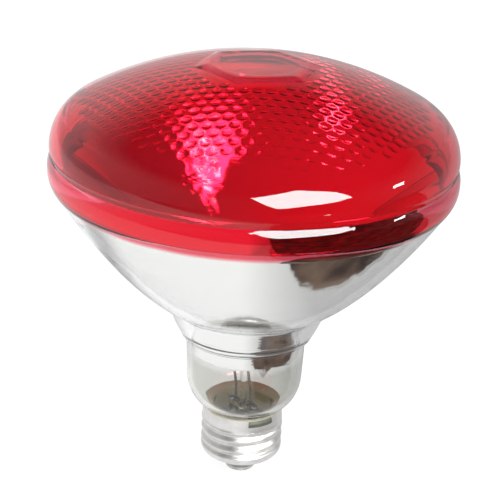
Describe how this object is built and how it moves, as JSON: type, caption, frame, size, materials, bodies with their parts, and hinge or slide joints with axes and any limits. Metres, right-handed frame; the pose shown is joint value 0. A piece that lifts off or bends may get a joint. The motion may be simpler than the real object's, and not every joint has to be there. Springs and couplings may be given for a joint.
{
  "type": "infrared heat lamp bulb",
  "caption": "Sealed reflector heat lamp: domed ruby lens with a six-sided boss, mirrored funnel bowl, straight neck and Edison screw cap.",
  "frame": {"origin": "middle of the centre contact's flat tip, on the lamp's axis", "axes": "+Z along the lamp's axis from the screw cap to the lens; the solder of the side lead lies on the front right, between +X and -Y"},
  "size_m": [0.1224, 0.1224, 0.1355],
  "materials": {
    "ruby_glass": "pressed clear glass under a ruby red lacquer, with small dimples pressed inside",
    "mirrored_glass": "clear pressed glass with a bright aluminium mirror film inside, clear again at the neck's foot",
    "clear_glass": "clear drawn glass",
    "seal_metal": "dull oxidised sealing wire",
    "nickel_wire": "satin nickel",
    "copper_wire": "bare copper",
    "support_metal": "drawn molybdenum",
    "tungsten": "grey tungsten coil",
    "nickelled_cap": "nickel-plated rolled sheet",
    "nickelled_contact": "bright flat plate",
    "black_glass": "black opaque glass",
    "solder": "dull soft solder",
    "basing_cement": "dry brown heatproof cement"
  },
  "bodies": {
    "root": {"front_lens": "ruby_glass", "reflector_bowl": "mirrored_glass", "flare_stem": "clear_glass", "exhaust_tube": "clear_glass", "arbor_rod": "clear_glass", "seal_wire_left": "seal_metal", "seal_wire_right": "seal_metal", "inner_lead_left": "nickel_wire", "inner_lead_right": "nickel_wire", "outer_lead_centre": "copper_wire", "outer_lead_side": "copper_wire", "support_wire_1": "support_metal", "support_wire_2": "support_metal", "support_wire_3": "support_metal", "filament": "tungsten", "cap_shell": "nickelled_cap", "cap_insulator": "black_glass", "centre_contact": "nickelled_contact", "centre_solder": "solder", "basing_cement": "basing_cement", "side_solder": "solder"}
  },
  "joints": []
}
